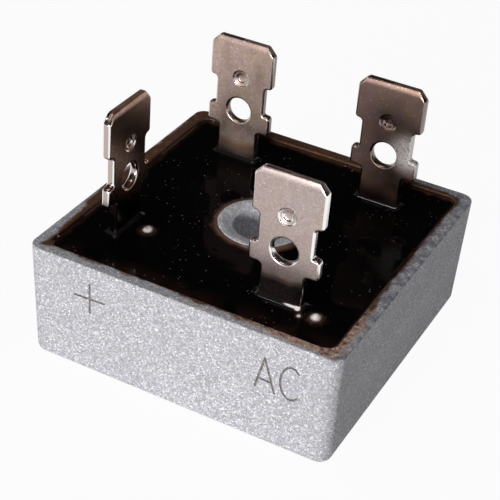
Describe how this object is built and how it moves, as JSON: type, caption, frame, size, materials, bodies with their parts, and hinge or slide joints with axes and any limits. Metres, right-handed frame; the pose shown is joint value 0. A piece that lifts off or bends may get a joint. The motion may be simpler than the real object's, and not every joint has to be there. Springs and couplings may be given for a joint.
{
  "type": "bridge rectifier",
  "caption": "Square potted bridge rectifier: a cast metal cup with a central bolt hole and upright push-on blade terminals, the positive one turned crosswise.",
  "frame": {"origin": "middle of the mounting hole at the flat mounting face", "axes": "+Z along the mounting hole towards the blade tips, -Y towards the marked side of the case, +X to the right of that side"},
  "size_m": [0.0288, 0.0288, 0.0225],
  "materials": {
    "case_metal": "cast aluminium, finely sand blasted",
    "potting_resin": "black epoxy poured and cured glossy",
    "terminal_plating": "copper sheet with warm grey nickel plating",
    "ceramic_sheet": "fired alumina sheet, matt",
    "silicon": "passivated silicon, dark grey",
    "solder_metal": "soft solder, dull grey"
  },
  "bodies": {
    "root": {"case": "case_metal", "insulating_plate": "ceramic_sheet", "terminal_positive": "terminal_plating", "terminal_negative": "terminal_plating", "terminal_ac_front": "terminal_plating", "terminal_ac_back": "terminal_plating", "potting_compound": "potting_resin", "die_positive_front": "silicon", "die_positive_back": "silicon", "die_negative_front": "silicon", "die_negative_back": "silicon", "solder_under_positive_front": "solder_metal", "solder_under_positive_back": "solder_metal", "solder_under_negative_front": "solder_metal", "solder_under_negative_back": "solder_metal", "solder_over_positive_front": "solder_metal", "solder_over_positive_back": "solder_metal", "solder_over_negative_front": "solder_metal", "solder_over_negative_back": "solder_metal"}
  },
  "joints": []
}
